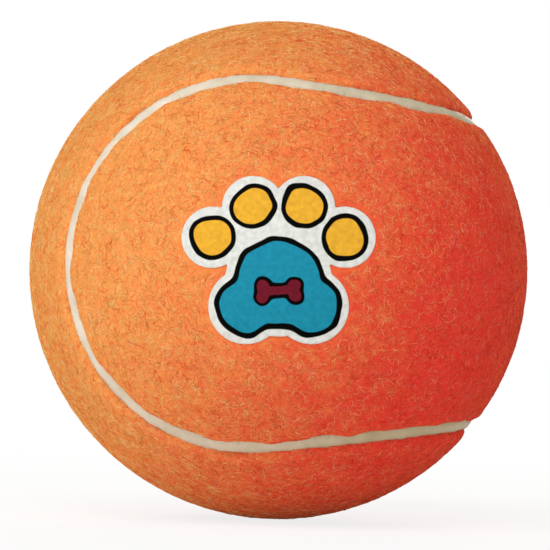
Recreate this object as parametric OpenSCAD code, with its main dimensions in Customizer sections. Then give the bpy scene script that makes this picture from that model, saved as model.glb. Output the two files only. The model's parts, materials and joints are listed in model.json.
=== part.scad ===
// Felt-covered dog ball: two rubber half shells cemented into a hollow core, two dog-bone felt
// panels wrapped round it, a cement seam between the panels and a print pressed into the front lobe.
// The origin is the ball's centre. -Y faces the print, +X runs through the right panel's waist.

/* [Ball] */
// Diameter over the felt
ball_d = 65; // [60:0.5:70]

/* [Felt] */
// Thickness of the felt with its nap
felt_t = 3; // [2.2:0.1:4]
// Rounding of the felt's edge beside the seam
felt_edge_r = 1.2; // [0.6:0.1:1.8]

/* [Seam] */
// Angle from each lobe's centre back to the plane midway between the panels
lobe_shift = 7; // [3:0.5:13]
// Width of the seam between the two panels
seam_w = 1.3; // [0.8:0.1:2.2]
// Depth of the seam below the felt
seam_depth = 0.45; // [0.2:0.05:1]

/* [Core] */
// Wall of the rubber half shells
core_wall = 3.6; // [2.5:0.1:5]
// Cement coat between the core and the felt
coat_t = 0.3; // [0.2:0.05:0.6]
// Cement between the rims of the half shells
rim_cement_t = 0.3; // [0.2:0.05:0.6]
// Radius of the cement bead squeezed out inside the core
rim_bead_r = 0.8; // [0.4:0.1:1.5]

/* [Print] */
// Thickness of the print's film, which is pressed flush into the nap
print_t = 0.25; // [0.15:0.05:0.5]
// Width of the plain border round the printed paw
print_border = 1.2; // [0.8:0.1:2]
// Radius of the paw's middle pad
pad_r = 5.2; // [4.5:0.1:6]
// Radius of the two lobes at the foot of the pad
heel_r = 3.3; // [2.8:0.1:4]
// Distance of each heel lobe's centre from the paw's centre line
heel_x = 3.9; // [3:0.1:4.5]
// Distance of the heel lobes' centres below the pad's centre
heel_drop = 2.8; // [2:0.1:3.5]
// Radius of a toe
toe_r = 2.5; // [2:0.1:3]
// Gap between the middle pad and each toe
toe_gap = 1.9; // [1:0.1:2.6]
// Angle between neighbouring toes
toe_angle = 37; // [30:1:42]
// Distance of the pad's centre below the print's centre
pad_drop = 2.6; // [1:0.1:4]
// Turn of the print round the ball from the front
print_turn = 2.5; // [-8:0.5:8]
// Tilt of the print on the felt
print_tilt = 1.5; // [-8:0.5:8]

/* [Hidden] */
ball_r = ball_d / 2;
felt_in_r = ball_r - felt_t;
core_r = felt_in_r - coat_t;
core_in_r = core_r - core_wall;
seam_r = ball_r - seam_depth;
print_r = ball_r - print_t;

// The seam's centre line is four small-circle arcs of equal angular radius, tangent end to end.
arc_a = acos(-pow(sin(lobe_shift), 2)) / 2;
half_gap_a = seam_w / 2 / seam_r * 180 / PI;
// Where a lobe's arc hands over to a waist's arc the waist stands proud by this step
arc_step = 0.05;
lobe_a = arc_a - half_gap_a;
waist_a = arc_a + half_gap_a - arc_step / seam_r * 180 / PI;

// Overrun of cutting shapes past the solids that they cut
over = 1;
// Reach of the blocks and cones that divide the ball
reach = 2 * ball_d;

toe_count = 4;
toe_ring_r = pad_r + toe_gap + toe_r;
toe_turns = [for (i = [0 : toe_count - 1]) (i - (toe_count - 1) / 2) * toe_angle];

felt_colour = "#E2622E";
seam_colour = "#DED8C4";
cement_colour = "#C9C2A6";
core_colour = "#3A3A3C";
film_colour = "#D9DBD6";

$fn = 120;

// Point at a radius and an angle from the axis, in the plane of a profile
function polar(r, a) = [r * sin(a), r * cos(a)];

// Shell between two radii
module shell(r_in, r_out) {
    difference() {
        sphere(r_out);
        sphere(r_in);
    }
}

// Block that fills the side of one axis
module half_space(axis) {
    translate(axis * reach / 2)
        cube(reach, center = true);
}

// Cone about +Z that opens from the ball's centre
module cone(a) {
    cylinder(h = reach, r1 = 0, r2 = reach * tan(a));
}

// Corner that a rounded edge takes off a panel whose edge is at angle a.
// The felt lies towards the axis where side is -1, and away from it where side is 1.
module edge_corner(r, a, edge_r, side) {
    centre_r = r - edge_r;
    swing = asin(edge_r / centre_r);
    centre = polar(centre_r, a + side * swing);
    up = polar(edge_r + over, a + side * swing);
    out = polar(edge_r + over, a - side * 90);
    difference() {
        polygon([centre, centre + up, centre + up + out, centre + out]);
        translate(centre)
            circle(edge_r);
    }
}

// Turn the axis of a cap to the middle of a lobe of the right panel
module at_right_lobe(side) {
    rotate([0, 0, side * lobe_shift])
        rotate([-90 * side, 0, 0])
            children();
}

// Turn the axis of a cap to the middle of a lobe of the left panel
module at_left_lobe(side) {
    rotate([0, 90 - side * (90 - lobe_shift), 0])
        children();
}

// Space of the right panel, with walls that run out from the ball's centre:
// a waist at +X between the left panel's lobes, and round lobes at -Y and +Y
module panel_space() {
    difference() {
        half_space([1, 0, 0]);
        for (side = [-1, 1])
            at_left_lobe(side)
                cone(waist_a);
    }
    for (side = [-1, 1])
        at_right_lobe(side)
            cone(lobe_a);
}

// Rings that round the right panel's edge, half of each about a lobe's centre
module panel_rounding() {
    for (side = [-1, 1]) {
        intersection() {
            at_right_lobe(side)
                rotate_extrude()
                    edge_corner(ball_r, lobe_a, felt_edge_r, -1);
            half_space([-1, 0, 0]);
        }
        intersection() {
            at_left_lobe(side)
                rotate_extrude()
                    edge_corner(ball_r, waist_a, felt_edge_r, 1);
            half_space([1, 0, 0]);
        }
    }
}

// Dog-bone panel of felt, in the right panel's place
module dog_bone() {
    difference() {
        intersection() {
            shell(felt_in_r, ball_r);
            panel_space();
        }
        panel_rounding();
    }
}

// Half turn that swaps the two panels' places
module swap_panels() {
    rotate(180, [0, 1, 1])
        children();
}

// Pads of the printed paw, grown by a border
module paw_pads(border) {
    circle(pad_r + border);
    for (side = [-1, 1])
        translate([side * heel_x, -heel_drop])
            circle(heel_r + border);
    for (a = toe_turns)
        translate(polar(toe_ring_r, a))
            circle(toe_r + border);
}

// Fan between the pads, which keeps the print's film in one piece
module paw_fan() {
    toes = [for (a = toe_turns) polar(toe_ring_r, a)];
    polygon([[0, 0], each toes]);
}

// Column of an outline that runs out through the front of the ball at the print's place
module print_column() {
    rotate([0, 0, print_turn])
        rotate([90, 0, 0])
            linear_extrude(reach)
                rotate(print_tilt)
                    translate([0, -pad_drop])
                        children();
}

// Everything in front of the ball's centre that the print covers
module print_space() {
    print_column()
        paw_pads(print_border);
    print_column()
        paw_fan();
}

module core_half_upper() {
    color(core_colour)
        difference() {
            shell(core_in_r, core_r);
            translate([0, 0, rim_cement_t / 2])
                half_space([0, 0, -1]);
        }
}

module core_half_lower() {
    color(core_colour)
        mirror([0, 0, 1])
            core_half_upper();
}

module rim_cement() {
    color(cement_colour)
        rotate_extrude()
            intersection() {
                union() {
                    translate([core_in_r - rim_bead_r / 2, -rim_cement_t / 2])
                        square([core_wall + rim_bead_r, rim_cement_t]);
                    intersection() {
                        translate([core_in_r, 0])
                            circle(rim_bead_r);
                        circle(core_in_r);
                    }
                }
                circle(core_r);
            }
}

module cement_coat() {
    color(cement_colour)
        shell(core_r, felt_in_r);
}

module felt_panel_right() {
    color(felt_colour)
        difference() {
            dog_bone();
            difference() {
                print_space();
                sphere(print_r);
            }
        }
}

module felt_panel_left() {
    color(felt_colour)
        swap_panels()
            dog_bone();
}

module seam_cement() {
    color(seam_colour)
        difference() {
            shell(felt_in_r, seam_r);
            panel_space();
            swap_panels()
                panel_space();
        }
}

module print_transfer() {
    color(film_colour)
        intersection() {
            print_space();
            shell(print_r, ball_r);
        }
}

core_half_upper();
core_half_lower();
rim_cement();
cement_coat();
felt_panel_right();
felt_panel_left();
seam_cement();
print_transfer();
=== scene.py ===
"""Felt-covered dog ball, dressed around its CAD frame: two interlocking felt panels with a raised
nap, a rubber seam between them and a printed film pressed into the front lobe."""

import json
import math

import bpy
import numpy as np
from mathutils import Matrix, Vector
from mathutils.bvhtree import BVHTree

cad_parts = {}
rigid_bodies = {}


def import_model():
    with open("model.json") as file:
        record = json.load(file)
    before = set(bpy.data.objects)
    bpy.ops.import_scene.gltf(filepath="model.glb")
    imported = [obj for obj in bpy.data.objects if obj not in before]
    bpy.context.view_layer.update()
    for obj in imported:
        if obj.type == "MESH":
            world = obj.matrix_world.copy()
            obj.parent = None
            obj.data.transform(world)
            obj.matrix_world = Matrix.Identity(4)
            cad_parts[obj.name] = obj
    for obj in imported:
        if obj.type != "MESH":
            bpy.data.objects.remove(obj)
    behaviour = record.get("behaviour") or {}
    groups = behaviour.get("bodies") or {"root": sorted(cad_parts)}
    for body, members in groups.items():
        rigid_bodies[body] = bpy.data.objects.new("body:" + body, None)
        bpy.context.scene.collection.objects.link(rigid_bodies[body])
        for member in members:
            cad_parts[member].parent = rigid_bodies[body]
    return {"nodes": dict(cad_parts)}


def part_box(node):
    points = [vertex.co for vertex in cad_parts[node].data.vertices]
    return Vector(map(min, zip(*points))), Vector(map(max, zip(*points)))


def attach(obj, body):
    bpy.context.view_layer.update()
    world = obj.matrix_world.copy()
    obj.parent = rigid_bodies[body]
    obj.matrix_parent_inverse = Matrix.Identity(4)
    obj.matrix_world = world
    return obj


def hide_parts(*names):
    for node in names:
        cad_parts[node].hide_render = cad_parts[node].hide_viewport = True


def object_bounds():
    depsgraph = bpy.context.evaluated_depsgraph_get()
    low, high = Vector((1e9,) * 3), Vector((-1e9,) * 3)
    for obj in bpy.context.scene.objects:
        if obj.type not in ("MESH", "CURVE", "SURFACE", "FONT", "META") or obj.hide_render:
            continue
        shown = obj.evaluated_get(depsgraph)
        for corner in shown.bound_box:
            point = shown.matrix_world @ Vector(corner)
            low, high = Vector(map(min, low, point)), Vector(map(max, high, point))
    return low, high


bl_info = {
    "name": "Felt Dog Ball",
    "version": (1, 0, 0),
    "blender": (4, 5, 0),
    "location": "View3D > Sidebar > Dog Ball",
    "description": "Models the felt, nap, seam and print of a dog ball around its CAD frame",
    "category": "Object",
}

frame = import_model()
CAD_LOW, CAD_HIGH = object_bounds()
BALL_RADIUS = (CAD_HIGH.z - CAD_LOW.z) / 2
MM = 0.001
# Vertices of a CAD node that are closer than this are one
MERGE_DISTANCE = 0.001 * MM

# The two felt panels and the CAD nodes that they stand for
PANELS = {"felt_right": "felt_panel_right", "felt_left": "felt_panel_left"}
# Pieces into which each panel's nap is shared out
NAP_PARTS = 4

# Where the photograph holds the ball, in pixels of its 550 by 550 frame
PHOTO_SIZE = 550
PHOTO_CENTRE = (278.4, 270.2)
PHOTO_RADIUS = 249.4
SENSOR_WIDTH = 36.0


def linear(hex_colour):
    """sRGB hex text to the linear colour that Blender's shaders take."""
    channels = [int(hex_colour[i:i + 2], 16) / 255 for i in (0, 2, 4)]
    return [c / 12.92 if c <= 0.04045 else ((c + 0.055) / 1.055) ** 2.4 for c in channels]


def colour_property(name, description, hex_colour):
    """Colour that a user can change, given as sRGB hex text."""
    return bpy.props.FloatVectorProperty(
        name=name,
        description=description,
        default=linear(hex_colour),
        subtype="COLOR",
        min=0,
        max=1,
    )


def length_property(name, description, millimetres):
    """Length that a user can change, given in millimetres and kept in metres."""
    return bpy.props.FloatProperty(
        name=name,
        description=description,
        default=millimetres * MM,
        unit="LENGTH",
        precision=5,
    )


def angle_property(name, description, degrees):
    """Angle that a user can change, given in degrees and kept in radians."""
    return bpy.props.FloatProperty(
        name=name,
        description=description,
        default=math.radians(degrees),
        subtype="ANGLE",
    )


def light_property(name, description, level):
    """Level of a light that a user can change."""
    return bpy.props.FloatProperty(name=name, description=description, default=level, min=0)


class BallFeltSettings(bpy.types.PropertyGroup):
    """Sizes and colours of the felt panels and their nap."""

    mesh_step: length_property("Mesh step", "Spacing of the felt's mesh", 0.45)
    nap_sink: length_property(
        "Nap sink", "Depth of the felt's ground below the tips of the nap", 0.1
    )
    edge_wobble: length_property(
        "Edge wobble", "How far the cut edges wander beside the seam", 1.3
    )
    lump_height: length_property("Lump height", "Height of the soft lumps in the felt", 0.07)
    strand_count: bpy.props.IntProperty(
        name="Strands", description="Strands of nap on each panel", default=56000, min=0
    )
    strand_length: length_property("Strand length", "Usual length of a strand of nap", 1.5)
    strand_width: length_property(
        "Strand width", "Width of a strand, drawn coarser than wool so that it shows", 0.085
    )
    strand_height: length_property("Strand height", "Usual rise of a strand above the felt", 0.03)
    # The ground is the darkest tone of the strands, and the colour of the felt's hollows, where it is
    # painted shade
    ground: colour_property("Ground", "Deep dye at the foot of the nap", "E04122")
    body: colour_property("Body", "Orange of most of the felt", "E7944C")
    light: colour_property("Light", "Orange of the lighter wool", "EABC6A")
    sheen: colour_property("Sheen", "Bloom of light on the fuzz", "F79A4E")
    # Painted shade: the tint that darkens the felt and its nap towards the ball's shaded side
    felt_shade_tint: colour_property("Deep dye", "Tint of the wool where the dye took deepest", "F36AA6")
    pale: colour_property("Pale", "Peach of the palest strands", "F0CE8E")


class BallSeamSettings(bpy.types.PropertyGroup):
    """Sizes and colours of the rubber seam."""

    mesh_step: length_property("Mesh step", "Spacing of the seam's mesh", 0.28)
    tuck: length_property("Tuck", "How far the seam runs in under each felt edge", 0.7)
    sink: length_property("Sink", "How far the bead lies below the flat seam", 0.1)
    ripple: length_property("Ripple", "Unevenness of the seam's surface", 0.14)
    rubber: colour_property("Rubber", "Cream of the seam's rubber", "DDD3C2")
    soil: colour_property("Soil", "Greyer rubber in the hollows", "B9AF93")
    # Painted shade: the tint that greys the seam towards the ball's shaded side
    seam_shade_tint: colour_property("Deep soil", "Tint of the rubber where it has greyed most", "CECBB0")


class BallPrintSettings(bpy.types.PropertyGroup):
    """Sizes and inks of the printed paw."""

    mesh_step: length_property("Mesh step", "Spacing of the film's mesh", 0.11)
    outline: length_property("Outline", "Width of the inked outline", 0.62)
    film: colour_property("Film", "White of the film", "D4D6D1")
    ink: colour_property("Ink", "Black of the outlines", "050505")
    pad: colour_property("Pad", "Turquoise of the middle pad", "1D86A0")
    toe: colour_property("Toe", "Yellow of the toes", "DEA632")
    bone: colour_property("Bone", "Maroon of the bone", "6A1827")


class BallStageSettings(bpy.types.PropertyGroup):
    """Camera, light and floor."""

    camera_radii: bpy.props.FloatProperty(
        name="Camera distance", description="In radii of the ball", default=10.5
    )
    azimuth: angle_property("Azimuth", "Camera's turn to the right", 2.5)
    elevation: angle_property("Elevation", "Camera's rise", -2.0)
    roll: angle_property("Roll", "Camera's lean to the left", 1.48)
    floor: colour_property("Floor", "Pale floor", "FAFAF9")
    ambient: light_property("Ambient", "Strength of the light from all round", 0.42)
    key: light_property("Key", "Brightness that the key light gives white paper", 0.35)
    high: light_property("High", "Brightness that the high left light gives white paper", 0.22)
    top: light_property("Top", "Brightness that the top light gives white paper", 0.3)
    fill: light_property("Fill", "Brightness that the warm fill light gives white paper", 0.1)
    back: light_property("Back", "Brightness that the back light gives white paper", 0.5)


def add_node(tree, kind, inputs=None, **settings):
    """Add a node, set its properties and fill its inputs with values or with linked outputs."""
    node = tree.nodes.new(kind)
    for name, value in settings.items():
        setattr(node, name, value)
    for name, value in (inputs or {}).items():
        if isinstance(value, bpy.types.NodeSocket):
            tree.links.new(value, node.inputs[name])
        else:
            node.inputs[name].default_value = value
    return node


def new_material(name):
    """Node material with a bare shader: the material, its tree, the shader and object coordinates."""
    material = bpy.data.materials.new(name)
    material.use_nodes = True
    tree = material.node_tree
    tree.nodes.clear()
    shader = add_node(tree, "ShaderNodeBsdfPrincipled")
    add_node(tree, "ShaderNodeOutputMaterial", {"Surface": shader.outputs[0]})
    coordinates = add_node(tree, "ShaderNodeTexCoord").outputs["Object"]
    return material, tree, shader, coordinates


def rgba(colour):
    """Four-channel value of a colour property."""
    return (*colour, 1)


def per_metre(millimetres):
    """Scale of a noise pattern whose features are about this size."""
    return 1 / (millimetres * MM)


def select_only(piece):
    """Select one object and make it active."""
    bpy.ops.object.select_all(action="DESELECT")
    piece.select_set(True)
    bpy.context.view_layer.objects.active = piece


def copy_node(node, name):
    """Merged copy of a CAD node's mesh, as a new object at the origin."""
    piece = bpy.data.objects.new(name, frame["nodes"][node].data.copy())
    piece.data.name = name
    piece.data.materials.clear()
    bpy.context.scene.collection.objects.link(piece)
    select_only(piece)
    bpy.ops.object.mode_set(mode="EDIT")
    bpy.ops.mesh.select_all(action="SELECT")
    bpy.ops.mesh.remove_doubles(threshold=MERGE_DISTANCE)
    bpy.ops.object.mode_set(mode="OBJECT")
    return piece


def apply_modifier(piece, kind, **settings):
    """Add a modifier with its settings and apply it."""
    select_only(piece)
    modifier = piece.modifiers.new(kind.lower(), kind)
    for name, value in settings.items():
        setattr(modifier, name, value)
    bpy.ops.object.modifier_apply(modifier=modifier.name)


def even_mesh(piece, step, smoothing):
    """Remesh a piece to even faces and soften its corners."""
    apply_modifier(piece, "REMESH", mode="VOXEL", voxel_size=step)
    apply_modifier(piece, "SMOOTH", factor=0.5, iterations=smoothing)


def displace(piece, size, depth, group=""):
    """Push a piece's surface in and out by clouds of this size, in metres."""
    clouds = bpy.data.textures.new(f"{piece.name}_clouds", "CLOUDS")
    clouds.noise_scale = size
    clouds.noise_depth = 1
    apply_modifier(
        piece,
        "DISPLACE",
        texture=clouds,
        texture_coords="LOCAL",
        direction="NORMAL",
        mid_level=0.5,
        strength=depth,
        vertex_group=group,
    )


def inflate(piece, amount):
    """Move a piece's whole surface along its normals."""
    select_only(piece)
    bpy.ops.object.mode_set(mode="EDIT")
    bpy.ops.mesh.select_all(action="SELECT")
    bpy.ops.transform.shrink_fatten(value=amount)
    bpy.ops.object.mode_set(mode="OBJECT")


def vertex_values(piece):
    """Places and normals of a piece's vertices, as arrays."""
    count = len(piece.data.vertices)
    places = np.empty(count * 3)
    normals = np.empty(count * 3)
    piece.data.vertices.foreach_get("co", places)
    piece.data.vertices.foreach_get("normal", normals)
    return places.reshape(-1, 3), normals.reshape(-1, 3)


def finish_piece(piece, material):
    """Give a piece its material and slot, and let it ride on the ball."""
    piece.data.materials.clear()
    piece.data.materials.append(material)
    select_only(piece)
    bpy.ops.object.shade_smooth()
    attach(piece, "root")


# Way across the ball in which painted shade darkens its colours, towards the side that the lamps
# leave in shade, and where that starts and ends, in radii
SHADE_WAY = (0.94, 0, -0.34)
SHADE_START = -0.65
SHADE_END = 0.82
# Size of the painted shade's patches, in millimetres, and how far they move it, in radii
SHADE_PATCH = 3
SHADE_SPREAD = 1.2
# How far a strand's own tone holds the painted shade back, in radii, and the usual tone
SHADE_LAG = 1.3
USUAL_TONE = 0.6


def paint_shade_across(tree, coordinates, colour, tint, lag=None):
    """Painted shade: colour that darkens by a tint across the ball, towards its shaded side, in
    patches. The lag is a strand's own tone: lighter strands take the painted shade further on."""
    across = add_node(
        tree,
        "ShaderNodeVectorMath",
        {0: coordinates, 1: SHADE_WAY},
        operation="DOT_PRODUCT",
    )
    patches = add_node(
        tree,
        "ShaderNodeTexNoise",
        {"Vector": coordinates, "Scale": per_metre(SHADE_PATCH), "Detail": 5, "Roughness": 0.8},
    )
    uneven = add_node(
        tree,
        "ShaderNodeMath",
        {0: patches.outputs[0], 1: SHADE_SPREAD * BALL_RADIUS, 2: across.outputs["Value"]},
        operation="MULTIPLY_ADD",
    )
    start = SHADE_START + SHADE_SPREAD / 2
    end = SHADE_END + SHADE_SPREAD / 2
    if lag is not None:
        uneven = add_node(
            tree,
            "ShaderNodeMath",
            {0: lag, 1: -SHADE_LAG * BALL_RADIUS, 2: uneven.outputs[0]},
            operation="MULTIPLY_ADD",
        )
        start -= SHADE_LAG * USUAL_TONE
        end -= SHADE_LAG * USUAL_TONE
    share = add_node(
        tree,
        "ShaderNodeMapRange",
        {
            "Value": uneven.outputs[0],
            "From Min": start * BALL_RADIUS,
            "From Max": end * BALL_RADIUS,
        },
        interpolation_type="SMOOTHSTEP",
    )
    deep = add_node(tree, "ShaderNodeVectorMath", {0: colour, 1: tint}, operation="MULTIPLY")
    return add_node(
        tree,
        "ShaderNodeMix",
        {0: share.outputs[0], 6: colour, 7: deep.outputs[0]},
        data_type="RGBA",
    ).outputs[2]


# Sizes of the felt's tangle and blotches, in millimetres. The tangle is drawn far coarser than the
# fibres of wool, so that it shows
FELT_TANGLE = 0.45
FELT_BLOTCH = 1.6


def wool_felt(settings):
    """Needled wool felt: a soft, fully matt ground of tangled wool, whose hollows are made deep
    orange and crests lighter by painted shade, and with painted shade that darkens it to red-orange
    across the ball."""
    material, tree, shader, coordinates = new_material("wool_felt")
    tangle = add_node(
        tree,
        "ShaderNodeTexNoise",
        {
            "Vector": coordinates,
            "Scale": per_metre(FELT_TANGLE),
            "Detail": 4,
            "Roughness": 0.65,
            "Distortion": 1.6,
        },
    )
    blotches = add_node(
        tree,
        "ShaderNodeTexNoise",
        {"Vector": coordinates, "Scale": per_metre(FELT_BLOTCH), "Detail": 2, "Roughness": 0.5},
    )
    tangle_share = add_node(
        tree,
        "ShaderNodeMapRange",
        {
            "Value": tangle.outputs[0],
            "From Min": 0.34,
            "From Max": 0.66,
            "To Min": 0.1,
            "To Max": 0.9,
        },
    )
    blotch_share = add_node(
        tree,
        "ShaderNodeMapRange",
        {
            "Value": blotches.outputs[0],
            "From Min": 0.35,
            "From Max": 0.65,
            "To Min": 0.1,
            "To Max": 0.8,
        },
    )
    # Painted shade: the hollows of the tangle, which the bump sinks, take the deep ground colour, and
    # its crests the light orange
    wool = add_node(
        tree,
        "ShaderNodeMix",
        {0: tangle_share.outputs[0], 6: rgba(settings.ground), 7: rgba(settings.light)},
        data_type="RGBA",
    )
    dye_and_shade = add_node(
        tree,
        "ShaderNodeMix",
        {0: blotch_share.outputs[0], 6: wool.outputs[2], 7: rgba(settings.body)},
        data_type="RGBA",
    )
    bump = add_node(
        tree,
        "ShaderNodeBump",
        {"Height": tangle.outputs[0], "Strength": 0.5, "Distance": 0.15 * MM},
    )
    # Painted shade: the felt darkens to red-orange towards the ball's shaded side
    dye_and_shade = paint_shade_across(tree, coordinates, dye_and_shade.outputs[2], settings.felt_shade_tint)
    tree.links.new(dye_and_shade, shader.inputs["Base Color"])
    tree.links.new(bump.outputs[0], shader.inputs["Normal"])
    shader.inputs["Roughness"].default_value = 0.95
    shader.inputs["Specular IOR Level"].default_value = 0
    shader.inputs["Sheen Weight"].default_value = 0.7
    shader.inputs["Sheen Roughness"].default_value = 0.3
    shader.inputs["Sheen Tint"].default_value = rgba(settings.sheen)
    return material


# Size of the nap's lighter and deeper patches, in millimetres, and how far its tone shifts in them
NAP_PATCH = 2.4
PATCH_DEPTH = 1.3


def wool_strands(settings):
    """Loose wool strands of the nap: fully matt, each strand with its own tone of orange, darker at
    its rooted ends, and with painted shade that darkens them to red-orange across the ball."""
    material, tree, shader, coordinates = new_material("wool_strands")
    own_tone = add_node(tree, "ShaderNodeAttribute", attribute_name="tone")
    patches = add_node(
        tree,
        "ShaderNodeTexNoise",
        {"Vector": coordinates, "Scale": per_metre(NAP_PATCH), "Detail": 3, "Roughness": 0.7},
    )
    tone = add_node(
        tree,
        "ShaderNodeMath",
        {0: patches.outputs[0], 1: PATCH_DEPTH, 2: own_tone.outputs["Fac"]},
        operation="MULTIPLY_ADD",
    )
    tone = add_node(
        tree,
        "ShaderNodeMath",
        {0: tone.outputs[0], 1: PATCH_DEPTH / 2},
        operation="SUBTRACT",
    )
    colour = rgba(settings.ground)
    for start, end, shade in (
        (0.0, 0.35, settings.body),
        (0.35, 0.75, settings.light),
        (0.75, 1.0, settings.pale),
    ):
        share = add_node(
            tree,
            "ShaderNodeMapRange",
            {"Value": tone.outputs[0], "From Min": start, "From Max": end},
        )
        colour = add_node(
            tree,
            "ShaderNodeMix",
            {0: share.outputs[0], 6: colour, 7: rgba(shade)},
            data_type="RGBA",
        ).outputs[2]
    # Painted shade: the strands darken to red-orange towards the ball's shaded side
    dye_and_shade = paint_shade_across(tree, coordinates, colour, settings.felt_shade_tint, own_tone.outputs["Fac"])
    tree.links.new(dye_and_shade, shader.inputs["Base Color"])
    shader.inputs["Roughness"].default_value = 0.85
    shader.inputs["Specular IOR Level"].default_value = 0
    shader.inputs["Sheen Weight"].default_value = 0.6
    shader.inputs["Sheen Roughness"].default_value = 0.3
    shader.inputs["Sheen Tint"].default_value = rgba(settings.sheen)
    return material


# Sizes of the streaks and the grain in the seam's rubber, in millimetres
SEAM_STREAK = 3.5
SEAM_GRAIN = 0.5


def seam_rubber(settings):
    """Cream vulcanised rubber: smooth, with a soft gloss and streaks, and greyer across the ball by
    painted shade.
    """
    material, tree, shader, coordinates = new_material("seam_rubber")
    streaks = add_node(
        tree,
        "ShaderNodeTexNoise",
        {"Vector": coordinates, "Scale": per_metre(SEAM_STREAK), "Detail": 3, "Roughness": 0.55},
    )
    grain = add_node(
        tree,
        "ShaderNodeTexNoise",
        {"Vector": coordinates, "Scale": per_metre(SEAM_GRAIN), "Detail": 2},
    )
    share = add_node(
        tree,
        "ShaderNodeMapRange",
        {"Value": streaks.outputs[0], "From Min": 0.35, "From Max": 0.75, "To Max": 0.7},
    )
    colour = add_node(
        tree,
        "ShaderNodeMix",
        {0: share.outputs[0], 6: rgba(settings.rubber), 7: rgba(settings.soil)},
        data_type="RGBA",
    )
    roughness = add_node(
        tree, "ShaderNodeMapRange", {"Value": grain.outputs[0], "To Min": 0.38, "To Max": 0.6}
    )
    bump = add_node(
        tree, "ShaderNodeBump", {"Height": grain.outputs[0], "Strength": 0.25, "Distance": 0.1 * MM}
    )
    # Painted shade: the rubber greys towards the ball's shaded side
    shaded_rubber = paint_shade_across(tree, coordinates, colour.outputs[2], settings.seam_shade_tint)
    tree.links.new(shaded_rubber, shader.inputs["Base Color"])
    tree.links.new(roughness.outputs[0], shader.inputs["Roughness"])
    tree.links.new(bump.outputs[0], shader.inputs["Normal"])
    shader.inputs["Specular IOR Level"].default_value = 0.25
    return material


# Sizes of the printed paw, as the CAD source has them, in millimetres and degrees
PRINT_TURN = 2.5
PRINT_TILT = 1.5
PAD_DROP = 2.6
PAD_RADIUS = 5.2
HEEL_RADIUS = 3.3
HEEL_SIDE = 3.9
HEEL_DROP = 2.8
TOE_RADIUS = 2.5
TOE_GAP = 1.9
TOE_ANGLE = 37
TOE_COUNT = 4
# Bone on the pad, in millimetres from the pad's centre
BONE_DROP = 1.0
BONE_KNOB_SIDE = 1.9
BONE_KNOB_RISE = 0.6
BONE_KNOB_RADIUS = 0.85
BONE_SHAFT_STEP = 0.7
BONE_SHAFT_RADIUS = 0.6
# Share of the outline's inner half that the bone keeps
BONE_LINE = 0.3
# How softly the discs of each shape run together, in millimetres
TOE_BLEND = 0.1
PAD_BLEND = 1.2
BONE_BLEND = 0.5
# Size and width of the waver in the drawn lines, and of the soft border of an ink, in millimetres
WAVER_SIZE = 3.2
WAVER_WIDTH = 0.9
INK_BORDER = 0.04
# Size of the felt's texture under the film, in millimetres
FILM_TEXTURE = 0.6


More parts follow.
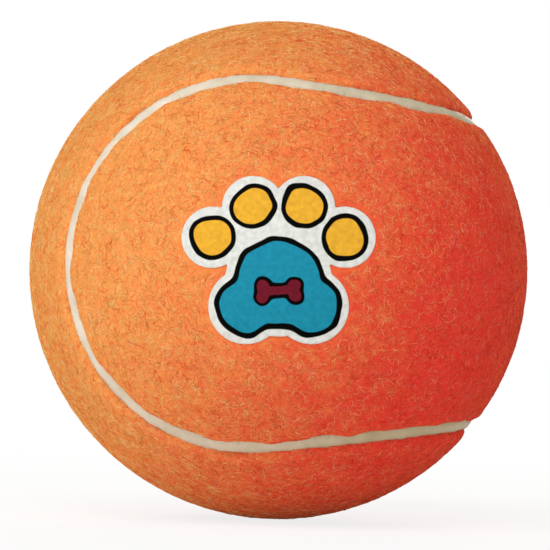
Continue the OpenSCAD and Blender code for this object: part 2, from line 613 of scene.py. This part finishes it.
def print_film(settings):
    """Screen print on a thin vinyl film: flat inks inside a brushed black outline, matt, with the
    felt's texture showing faintly through."""
    material, tree, shader, coordinates = new_material("print_film")
    swing = math.radians(PRINT_TURN)
    tilt = math.radians(-PRINT_TILT)
    turn = Matrix.Rotation(swing, 3, "Z") @ Matrix.Rotation(tilt, 3, "Y")
    pad_place = turn @ Vector((0, 0, -PAD_DROP * MM))
    paw = add_node(
        tree,
        "ShaderNodeMapping",
        {"Vector": coordinates, "Location": pad_place, "Rotation": (0, tilt, swing)},
        vector_type="TEXTURE",
    )
    hand = add_node(
        tree,
        "ShaderNodeTexNoise",
        {"Vector": coordinates, "Scale": per_metre(WAVER_SIZE), "Detail": 1},
    )
    waver = add_node(
        tree,
        "ShaderNodeVectorMath",
        {0: hand.outputs["Color"], 1: (0.5, 0.5, 0.5)},
        operation="SUBTRACT",
    )
    drawn = add_node(
        tree,
        "ShaderNodeVectorMath",
        {0: waver.outputs[0], 1: (WAVER_WIDTH * MM,) * 3, 2: paw.outputs[0]},
        operation="MULTIPLY_ADD",
    )
    flat = add_node(
        tree, "ShaderNodeVectorMath", {0: drawn.outputs[0], 1: (1, 0, 1)}, operation="MULTIPLY"
    )

    def discs(places, blend):
        """Distance outside a union of discs, each (x, z, radius) in millimetres."""
        union = None
        for x, z, radius in places:
            away = add_node(
                tree,
                "ShaderNodeVectorMath",
                {0: flat.outputs[0], 1: (x * MM, 0, z * MM)},
                operation="DISTANCE",
            )
            outside = add_node(
                tree,
                "ShaderNodeMath",
                {0: away.outputs["Value"], 1: radius * MM},
                operation="SUBTRACT",
            )
            if union is None:
                union = outside
            else:
                union = add_node(
                    tree,
                    "ShaderNodeMath",
                    {0: union.outputs[0], 1: outside.outputs[0], 2: blend * MM},
                    operation="SMOOTH_MIN",
                )
        return union.outputs[0]

    def covered(distance, edge):
        """1 where a distance is under an edge, and 0 past it, with a thin soft border."""
        soft = INK_BORDER * MM
        return add_node(
            tree,
            "ShaderNodeMapRange",
            {"Value": distance, "From Min": edge + soft, "From Max": edge - soft},
        ).outputs[0]

    toe_ring = PAD_RADIUS + TOE_GAP + TOE_RADIUS
    turns = [math.radians((i - (TOE_COUNT - 1) / 2) * TOE_ANGLE) for i in range(TOE_COUNT)]
    toes = discs(
        [(toe_ring * math.sin(a), toe_ring * math.cos(a), TOE_RADIUS) for a in turns], TOE_BLEND
    )
    heels = [(x, -HEEL_DROP, HEEL_RADIUS) for x in (HEEL_SIDE, -HEEL_SIDE)]
    pad = discs([(0, 0, PAD_RADIUS), *heels], PAD_BLEND)
    bone_knobs = [
        (x, z - BONE_DROP, BONE_KNOB_RADIUS)
        for x in (-BONE_KNOB_SIDE, BONE_KNOB_SIDE)
        for z in (-BONE_KNOB_RISE, BONE_KNOB_RISE)
    ]
    bone_shaft = [(i * BONE_SHAFT_STEP, -BONE_DROP, BONE_SHAFT_RADIUS) for i in range(-2, 3)]
    bone = discs(bone_knobs + bone_shaft, BONE_BLEND)
    half = settings.outline / 2
    colour = rgba(settings.film)
    for distance, edge, ink in (
        (toes, half, settings.ink),
        (toes, -half, settings.toe),
        (pad, half, settings.ink),
        (pad, -half, settings.pad),
        (bone, half, settings.ink),
        (bone, -half * BONE_LINE, settings.bone),
    ):
        colour = add_node(
            tree,
            "ShaderNodeMix",
            {0: covered(distance, edge), 6: colour, 7: rgba(ink)},
            data_type="RGBA",
        ).outputs[2]
    nap = add_node(
        tree,
        "ShaderNodeTexNoise",
        {"Vector": coordinates, "Scale": per_metre(FILM_TEXTURE), "Detail": 3},
    )
    ink_share = add_node(
        tree,
        "ShaderNodeMapRange",
        {
            "Value": nap.outputs[0],
            "From Min": 0.3,
            "From Max": 0.7,
            "To Min": 0.84,
            "To Max": 1.06,
        },
    )
    colour = add_node(
        tree,
        "ShaderNodeVectorMath",
        {0: colour, 1: ink_share.outputs[0]},
        operation="MULTIPLY",
    ).outputs[0]
    bump = add_node(
        tree, "ShaderNodeBump", {"Height": nap.outputs[0], "Strength": 0.35, "Distance": 0.15 * MM}
    )
    roughness = add_node(
        tree, "ShaderNodeMapRange", {"Value": nap.outputs[0], "To Min": 0.5, "To Max": 0.75}
    )
    tree.links.new(colour, shader.inputs["Base Color"])
    tree.links.new(roughness.outputs[0], shader.inputs["Roughness"])
    tree.links.new(bump.outputs[0], shader.inputs["Normal"])
    shader.inputs["Specular IOR Level"].default_value = 0.02
    return material


# Sizes of the sanded grain of the core and the clouds in the cement, in millimetres
CORE_GRAIN = 0.8
CEMENT_CLOUD = 2


def moulded_rubber():
    """Moulded natural rubber with carbon black: dull dark grey with a fine sanded grain."""
    material, tree, shader, coordinates = new_material("moulded_rubber")
    grain = add_node(
        tree,
        "ShaderNodeTexNoise",
        {"Vector": coordinates, "Scale": per_metre(CORE_GRAIN), "Detail": 4},
    )
    colour = add_node(
        tree,
        "ShaderNodeMix",
        {0: grain.outputs[0], 6: rgba(linear("333335")), 7: rgba(linear("434345"))},
        data_type="RGBA",
    )
    bump = add_node(
        tree,
        "ShaderNodeBump",
        {"Height": grain.outputs[0], "Strength": 0.4, "Distance": 0.1 * MM},
    )
    tree.links.new(colour.outputs[2], shader.inputs["Base Color"])
    tree.links.new(bump.outputs[0], shader.inputs["Normal"])
    shader.inputs["Roughness"].default_value = 0.8
    return material


def rubber_cement():
    """Dried rubber cement: a cloudy cream film, slightly tacky and glossy."""
    material, tree, shader, coordinates = new_material("rubber_cement")
    cloud = add_node(
        tree,
        "ShaderNodeTexNoise",
        {"Vector": coordinates, "Scale": per_metre(CEMENT_CLOUD), "Detail": 3},
    )
    colour = add_node(
        tree,
        "ShaderNodeMix",
        {0: cloud.outputs[0], 6: rgba(linear("C2BA9C")), 7: rgba(linear("D2CBB2"))},
        data_type="RGBA",
    )
    bump = add_node(
        tree,
        "ShaderNodeBump",
        {"Height": cloud.outputs[0], "Strength": 0.3, "Distance": 0.2 * MM},
    )
    tree.links.new(colour.outputs[2], shader.inputs["Base Color"])
    tree.links.new(bump.outputs[0], shader.inputs["Normal"])
    shader.inputs["Roughness"].default_value = 0.45
    return material


class DOGBALL_OT_core(bpy.types.Operator):
    """Finish the hidden core: its two rubber halves and the cement that holds them and the felt."""

    bl_idname = "dogball.core"
    bl_label = "Core"

    def execute(self, context):
        finishes = {
            moulded_rubber(): ("core_half_upper", "core_half_lower"),
            rubber_cement(): ("rim_cement", "cement_coat"),
        }
        for material, nodes in finishes.items():
            for node in nodes:
                piece = frame["nodes"][node]
                piece.data.materials.clear()
                piece.data.materials.append(material)
        return {"FINISHED"}


# Rounds of smoothing that soften each piece's corners after its remesh
FELT_SMOOTHING = 6
SEAM_SMOOTHING = 2
FILM_SMOOTHING = 4
# Sizes of the clouds that move the felt's cut edges, the felt's lumps and the seam's ripple
EDGE_CLOUDS = 4.5 * MM
LUMP_CLOUDS = 2.2 * MM
RIPPLE_CLOUDS = 3.5 * MM


class DOGBALL_OT_felt(bpy.types.Operator):
    """Model the two felt panels, with soft lumps and edges that wander beside the seam."""

    bl_idname = "dogball.felt"
    bl_label = "Felt Panels"

    def execute(self, context):
        settings = context.scene.dogball_felt
        material = wool_felt(settings)
        for name, node in PANELS.items():
            piece = copy_node(node, name)
            even_mesh(piece, settings.mesh_step, FELT_SMOOTHING)
            inflate(piece, -settings.nap_sink)
            places, normals = vertex_values(piece)
            radial = places / np.linalg.norm(places, axis=1)[:, None]
            facing = np.abs((normals * radial).sum(axis=1))
            edge_shares = np.sqrt(np.clip(1 - facing ** 2, 0, 1))
            group = piece.vertex_groups.new(name="cut_edge")
            for index, share in enumerate(edge_shares):
                group.add([index], float(share), "REPLACE")
            displace(piece, EDGE_CLOUDS, settings.edge_wobble, "cut_edge")
            displace(piece, LUMP_CLOUDS, settings.lump_height)
            piece.vertex_groups.clear()
            finish_piece(piece, material)
            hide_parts(node)
        return {"FINISHED"}


# Strands root on faces that point outward by at least this share, down to this depth in the edges
ROOT_FACING = 0.15
ROOT_DEPTH = 1.6 * MM


def strand_roots(piece, count, draw):
    """Places on the outside of a felt panel, spread evenly by area, and the normals there."""
    mesh = piece.data
    mesh.calc_loop_triangles()
    corners = np.empty(len(mesh.loop_triangles) * 3, dtype=np.int32)
    mesh.loop_triangles.foreach_get("vertices", corners)
    places, _normals = vertex_values(piece)
    a, b, c = places[corners.reshape(-1, 3)].transpose(1, 0, 2)
    across = np.cross(b - a, c - a)
    doubled = np.linalg.norm(across, axis=1)
    middle = (a + b + c) / 3
    height = np.linalg.norm(middle, axis=1)
    outward = (across * middle).sum(axis=1) / (doubled * height)
    outside = (outward > ROOT_FACING) & (height > BALL_RADIUS - ROOT_DEPTH)
    weight = np.where(outside, doubled, 0)
    chosen = draw.choice(len(weight), count, p=weight / weight.sum())
    u, v = draw.random((2, count))
    over = u + v > 1
    u[over], v[over] = 1 - u[over], 1 - v[over]
    roots = a[chosen] + u[:, None] * (b - a)[chosen] + v[:, None] * (c - a)[chosen]
    return roots, across[chosen] / doubled[chosen][:, None]


# Points along a strand and sides round it
STRAND_POINTS = 4
STRAND_SIDES = 3
# Height of a strand's section as a share of its width
STRAND_FLATNESS = 0.5
# Share of a strand's tone that is left at its rooted ends
ROOT_SHADE = 0.7
# Least and greatest length and width of a strand, as shares of the usual ones
LENGTH_RANGE = (0.45, 1.35)
WIDTH_RANGE = (0.7, 1.2)
# Spread of the strands' bends, to one side and to both, in radians
CURL_SPREAD = 1.0
TWIST_SPREAD = 0.7
# Shapes of the gamma curve of the strands' rise and of the beta curve of their tones
RISE_SHAPE = 3
TONE_SHAPE = (2.6, 1.7)
# Start and span of the part of a half wave that a strand's arch follows
ARCH_START = 0.08
ARCH_SPAN = 0.84
# Depth of a strand's foot in the felt, as a share of the usual rise
FOOT_DEPTH = 0.35
# Gap that the strands keep from the printed film
CLEAR_OF_PRINT = 0.3 * MM
# Margin round each strand in its cell of the map
CELL_MARGIN = 0.1


def strand_paths(piece, settings, draw):
    """Curly paths of a panel's nap, on its felt and clear of the print: points, widths and tones."""
    count = settings.strand_count
    roots, normals = strand_roots(piece, count, draw)
    aside = np.cross(normals, draw.normal(size=(count, 3)))
    aside /= np.linalg.norm(aside, axis=1)[:, None]
    ahead = np.cross(normals, aside)
    share = np.linspace(0, 1, STRAND_POINTS)
    length = settings.strand_length * draw.uniform(*LENGTH_RANGE, count)
    curl = draw.normal(0, CURL_SPREAD, count)
    twist = draw.normal(0, TWIST_SPREAD, count)
    heading = curl[:, None] * (share - 0.5) * 2 + twist[:, None] * np.sin(2 * math.pi * share)
    step = length[:, None] / (STRAND_POINTS - 1)
    along = np.cumsum(np.cos(heading) * step, axis=1)
    across = np.cumsum(np.sin(heading) * step, axis=1)
    along -= along.mean(axis=1)[:, None]
    across -= across.mean(axis=1)[:, None]
    points = roots[:, None] + along[..., None] * ahead[:, None] + across[..., None] * aside[:, None]
    rise = settings.strand_height * draw.gamma(RISE_SHAPE, 1 / RISE_SHAPE, count)
    arch = np.sin(math.pi * (ARCH_START + ARCH_SPAN * share))
    lift = rise[:, None] * arch - FOOT_DEPTH * settings.strand_height

    depsgraph = bpy.context.evaluated_depsgraph_get()
    felt = BVHTree.FromObject(piece, depsgraph)
    film = BVHTree.FromObject(frame["nodes"]["print_transfer"], depsgraph)
    print_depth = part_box("print_transfer")[1].y
    kept = np.ones(count, dtype=bool)
    for strand in range(count):
        for place in range(STRAND_POINTS):
            spot, normal, _face, _distance = felt.find_nearest(points[strand, place])
            if spot.y < print_depth:
                _spot, _normal, _face, distance = film.find_nearest(spot)
                if distance < CLEAR_OF_PRINT:
                    kept[strand] = False
            points[strand, place] = spot + normal * lift[strand, place]
    width = settings.strand_width * draw.uniform(*WIDTH_RANGE, count)
    tone = draw.beta(*TONE_SHAPE, count)
    return points[kept], width[kept], tone[kept]


def strand_mesh(name, points, width, tone):
    """Mesh of thin three-sided strands with pointed ends, each with its own shade and map."""
    count = len(points)
    forward = np.gradient(points, axis=1)
    forward /= np.linalg.norm(forward, axis=2)[..., None]
    outward = points / np.linalg.norm(points, axis=2)[..., None]
    beside = np.cross(forward, outward)
    beside /= np.linalg.norm(beside, axis=2)[..., None]
    above = np.cross(beside, forward)
    middle = slice(1, STRAND_POINTS - 1)
    rings = []
    for side in range(STRAND_SIDES):
        angle = math.pi / 2 + 2 * math.pi * side / STRAND_SIDES
        offset = math.cos(angle) * beside + STRAND_FLATNESS * math.sin(angle) * above
        rings.append((points + width[:, None, None] / 2 * offset)[:, middle])
    rings = np.stack(rings, axis=2).reshape(count, -1, 3)
    vertices = np.concatenate([points[:, :1], rings, points[:, -1:]], axis=1)

    def ring_corner(ring, side):
        """Number of a strand's vertex, and its place on the strand's own map."""
        if ring == 0:
            return 0, (0, 0.5)
        if ring == STRAND_POINTS - 1:
            return (STRAND_POINTS - 2) * STRAND_SIDES + 1, (1, 0.5)
        number = 1 + (ring - 1) * STRAND_SIDES + side % STRAND_SIDES
        return number, (ring / (STRAND_POINTS - 1), side / STRAND_SIDES)

    one_strand = []
    for ring in range(STRAND_POINTS - 1):
        for side in range(STRAND_SIDES):
            corners = [(ring, side), (ring + 1, side), (ring + 1, side + 1), (ring, side + 1)]
            if ring == 0:
                corners.pop(3)
            elif ring == STRAND_POINTS - 2:
                corners.pop(2)
            one_strand.append([ring_corner(*corner) for corner in corners])
    face_sizes = [len(face) for face in one_strand]
    numbers = np.array([number for face in one_strand for number, _spot in face])
    spots = np.array([spot for face in one_strand for _number, spot in face])

    corners = numbers[None] + (np.arange(count) * vertices.shape[1])[:, None]
    starts = np.concatenate([[0], np.cumsum(np.tile(face_sizes, count))[:-1]])
    mesh = bpy.data.meshes.new(name)
    mesh.vertices.add(count * vertices.shape[1])
    mesh.vertices.foreach_set("co", vertices.ravel())
    mesh.loops.add(corners.size)
    mesh.loops.foreach_set("vertex_index", corners.ravel().astype(np.int32))
    mesh.polygons.add(len(starts))
    mesh.polygons.foreach_set("loop_start", starts.astype(np.int32))
    mesh.update(calc_edges=True)

    shade = mesh.attributes.new("tone", "FLOAT", "POINT")
    rooted = np.full(vertices.shape[1], 1.0)
    rooted[[0, -1]] = ROOT_SHADE
    shade.data.foreach_set("value", (tone[:, None] * rooted).ravel())
    columns = math.ceil(math.sqrt(count))
    cell = np.stack([np.arange(count) % columns, np.arange(count) // columns], axis=1)
    inner = CELL_MARGIN + (1 - 2 * CELL_MARGIN) * spots[None]
    spread = (cell[:, None] + inner) / columns
    layer = mesh.uv_layers.new(name="OFBake")
    layer.data.foreach_set("uv", spread.ravel())
    return mesh


class DOGBALL_OT_nap(bpy.types.Operator):
    """Raise the nap: loose curly strands that lie on both felt panels and stay off the print."""

    bl_idname = "dogball.nap"
    bl_label = "Nap"

    def execute(self, context):
        settings = context.scene.dogball_felt
        material = wool_strands(settings)
        for seed, panel in enumerate(PANELS):
            draw = np.random.default_rng(seed + 1)
            paths = strand_paths(bpy.data.objects[panel], settings, draw)
            for part in range(NAP_PARTS):
                name = f"nap_{panel}_{part + 1}"
                mesh = strand_mesh(name, *[path[part::NAP_PARTS] for path in paths])
                piece = bpy.data.objects.new(name, mesh)
                context.scene.collection.objects.link(piece)
                finish_piece(piece, material)
        return {"FINISHED"}


class DOGBALL_OT_seam(bpy.types.Operator):
    """Model the rubber seam, which runs in under both felt edges and ripples along its length."""

    bl_idname = "dogball.seam"
    bl_label = "Seam"

    def execute(self, context):
        settings = context.scene.dogball_seam
        piece = copy_node("seam_cement", "seam_bead")
        even_mesh(piece, settings.mesh_step, SEAM_SMOOTHING)
        select_only(piece)
        shrunk = 1 - (settings.tuck + settings.sink) / BALL_RADIUS
        bpy.ops.object.mode_set(mode="EDIT")
        bpy.ops.mesh.select_all(action="SELECT")
        bpy.ops.transform.resize(value=(shrunk,) * 3, center_override=(0, 0, 0))
        bpy.ops.object.mode_set(mode="OBJECT")
        inflate(piece, settings.tuck)
        displace(piece, RIPPLE_CLOUDS, settings.ripple)
        finish_piece(piece, seam_rubber(settings))
        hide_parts("seam_cement")
        return {"FINISHED"}


class DOGBALL_OT_print(bpy.types.Operator):
    """Model the printed film, with rounded edges, and ink its paw."""

    bl_idname = "dogball.print"
    bl_label = "Print"

    def execute(self, context):
        settings = context.scene.dogball_print
        piece = copy_node("print_transfer", "print_paw")
        even_mesh(piece, settings.mesh_step, FILM_SMOOTHING)
        finish_piece(piece, print_film(settings))
        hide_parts("print_transfer")
        return {"FINISHED"}


# Place, width and height of each soft light, in metres, and its colour
LAMPS = {
    "key": ((-0.3, -1.2, 0.03), (0.8, 0.12), (1, 1, 1)),
    "high": ((-0.85, -0.7, 0.8), (0.7, 0.5), (1, 1, 1)),
    "top": ((-0.1, -0.8, 1.0), (0.7, 0.5), (1, 1, 1)),
    "fill": ((1.25, 0.05, 0.15), (0.7, 0.3), (1, 0.85, 0.8)),
    "back": ((0.0, 1.25, 0.5), (0.9, 0.6), (1, 0.93, 0.86)),
}
AMBIENT_COLOUR = (1, 0.97, 0.94, 1)
WHITE = (1, 1, 1, 1)
# Width of the floor, in metres
FLOOR_SIZE = 8
# Distances from the ball's foot between which the floor goes from its paper's shade to plain white,
# in metres, and the share of white at the foot
FLOOR_NEAR = 0.03
FLOOR_FAR = 0.3
FOOT_WHITE = 0.82


def area_light(name, place, size, paper_brightness, colour):
    """Soft light aimed at the ball, as bright as it alone would make white paper there."""
    light = bpy.data.lights.new(name, "AREA")
    light.shape = "RECTANGLE"
    light.size, light.size_y = size
    light.energy = paper_brightness * math.pi ** 2 * Vector(place).length_squared
    light.color = colour
    lamp = bpy.data.objects.new(name, light)
    lamp.location = place
    lamp.rotation_euler = (-Vector(place)).to_track_quat("-Z", "Y").to_euler()
    bpy.context.scene.collection.objects.link(lamp)


def seen_directly(tree):
    """1 for the rays that show the background: the camera's, and those of gloss and of glass."""
    path = add_node(tree, "ShaderNodeLightPath")
    seen = path.outputs["Is Camera Ray"]
    for ray in ("Is Glossy Ray", "Is Transmission Ray"):
        seen = add_node(
            tree, "ShaderNodeMath", {0: seen, 1: path.outputs[ray]}, operation="MAXIMUM"
        ).outputs[0]
    return seen


class DOGBALL_OT_stage(bpy.types.Operator):
    """Set up the pale floor, the soft light and the camera."""

    bl_idname = "dogball.stage"
    bl_label = "Stage"

    def execute(self, context):
        settings = context.scene.dogball_stage
        scene = context.scene
        scene.view_settings.view_transform = "Standard"
        self.lay_floor(settings)
        self.light_world(scene, settings)
        for name, (place, size, colour) in LAMPS.items():
            area_light(f"{name}_light", place, size, getattr(settings, name), colour)
        self.place_camera(scene, settings)
        return {"FINISHED"}

    def lay_floor(self, settings):
        """Wide floor under the ball, which looks white and keeps the ball's shadow."""
        bpy.ops.object.select_all(action="DESELECT")
        bpy.ops.mesh.primitive_plane_add(size=FLOOR_SIZE, location=(0, 0, CAD_LOW.z))
        floor = bpy.context.active_object
        floor.name = "floor"
        material = bpy.data.materials.new("matt_paper")
        material.use_nodes = True
        tree = material.node_tree
        tree.nodes.clear()
        paper = add_node(tree, "ShaderNodeBsdfDiffuse", {"Color": rgba(settings.floor)})
        white = add_node(tree, "ShaderNodeEmission", {"Color": WHITE, "Strength": 1})
        coordinates = add_node(tree, "ShaderNodeTexCoord").outputs["Object"]
        away = add_node(tree, "ShaderNodeVectorMath", {0: coordinates}, operation="LENGTH")
        whiteness = add_node(
            tree,
            "ShaderNodeMapRange",
            {
                "Value": away.outputs["Value"],
                "From Min": FLOOR_NEAR,
                "From Max": FLOOR_FAR,
                "To Min": FOOT_WHITE,
                "To Max": 1,
            },
            interpolation_type="SMOOTHSTEP",
        )
        share = add_node(
            tree,
            "ShaderNodeMath",
            {0: seen_directly(tree), 1: whiteness.outputs[0]},
            operation="MULTIPLY",
        )
        mix = add_node(
            tree,
            "ShaderNodeMixShader",
            {0: share.outputs[0], 1: paper.outputs[0], 2: white.outputs[0]},
        )
        add_node(tree, "ShaderNodeOutputMaterial", {"Surface": mix.outputs[0]})
        floor.data.materials.append(material)

    def light_world(self, scene, settings):
        """Even soft light from all round, behind a white background."""
        world = bpy.data.worlds.new("studio")
        scene.world = world
        world.use_nodes = True
        tree = world.node_tree
        tree.nodes.clear()
        around = add_node(
            tree,
            "ShaderNodeBackground",
            {"Color": AMBIENT_COLOUR, "Strength": settings.ambient},
        )
        white = add_node(tree, "ShaderNodeBackground", {"Color": WHITE, "Strength": 1})
        mix = add_node(
            tree,
            "ShaderNodeMixShader",
            {0: seen_directly(tree), 1: around.outputs[0], 2: white.outputs[0]},
        )
        add_node(tree, "ShaderNodeOutputWorld", {"Surface": mix.outputs[0]})

    def place_camera(self, scene, settings):
        """Camera at the photograph's angle, which frames the ball as the photograph does."""
        lens_pixels = PHOTO_RADIUS * math.sqrt(settings.camera_radii ** 2 - 1)
        data = bpy.data.cameras.new("camera")
        data.sensor_width = SENSOR_WIDTH
        data.lens = SENSOR_WIDTH * lens_pixels / PHOTO_SIZE
        data.shift_x = (PHOTO_SIZE / 2 - PHOTO_CENTRE[0]) / PHOTO_SIZE
        data.shift_y = (PHOTO_CENTRE[1] - PHOTO_SIZE / 2) / PHOTO_SIZE
        data.clip_start = 0.01
        camera = bpy.data.objects.new("camera", data)
        turn = (
            Matrix.Rotation(settings.azimuth, 4, "Z")
            @ Matrix.Rotation(math.pi / 2 - settings.elevation, 4, "X")
            @ Matrix.Rotation(settings.roll, 4, "Z")
        )
        away = Matrix.Translation((0, 0, settings.camera_radii * BALL_RADIUS))
        camera.matrix_world = turn @ away
        scene.collection.objects.link(camera)
        scene.camera = camera


OPERATORS = (
    DOGBALL_OT_stage,
    DOGBALL_OT_core,
    DOGBALL_OT_felt,
    DOGBALL_OT_nap,
    DOGBALL_OT_seam,
    DOGBALL_OT_print,
)
SETTINGS = {
    "dogball_felt": BallFeltSettings,
    "dogball_seam": BallSeamSettings,
    "dogball_print": BallPrintSettings,
    "dogball_stage": BallStageSettings,
}


class DOGBALL_PT_parts(bpy.types.Panel):
    """Lists the ball's operators and the settings that they read."""

    bl_idname = "DOGBALL_PT_parts"
    bl_label = "Dog Ball"
    bl_space_type = "VIEW_3D"
    bl_region_type = "UI"
    bl_category = "Dog Ball"

    def draw(self, context):
        for operator in OPERATORS:
            self.layout.operator(operator.bl_idname)
        for name, group in SETTINGS.items():
            box = self.layout.box()
            for setting in group.__annotations__:
                box.prop(getattr(context.scene, name), setting)


CLASSES = (*SETTINGS.values(), *OPERATORS, DOGBALL_PT_parts)


def register():
    """Make the classes known to Blender and give the scene its settings."""
    for cls in CLASSES:
        bpy.utils.register_class(cls)
    for name, group in SETTINGS.items():
        setattr(bpy.types.Scene, name, bpy.props.PointerProperty(type=group))


def unregister():
    """Take the settings and the classes away again."""
    for name in SETTINGS:
        delattr(bpy.types.Scene, name)
    for cls in reversed(CLASSES):
        bpy.utils.unregister_class(cls)


def main():
    """Build the dressed ball."""
    register()
    bpy.ops.dogball.stage()
    bpy.ops.dogball.core()
    bpy.ops.dogball.felt()
    bpy.ops.dogball.nap()
    bpy.ops.dogball.seam()
    bpy.ops.dogball.print()


if __name__ == "__main__":
    main()
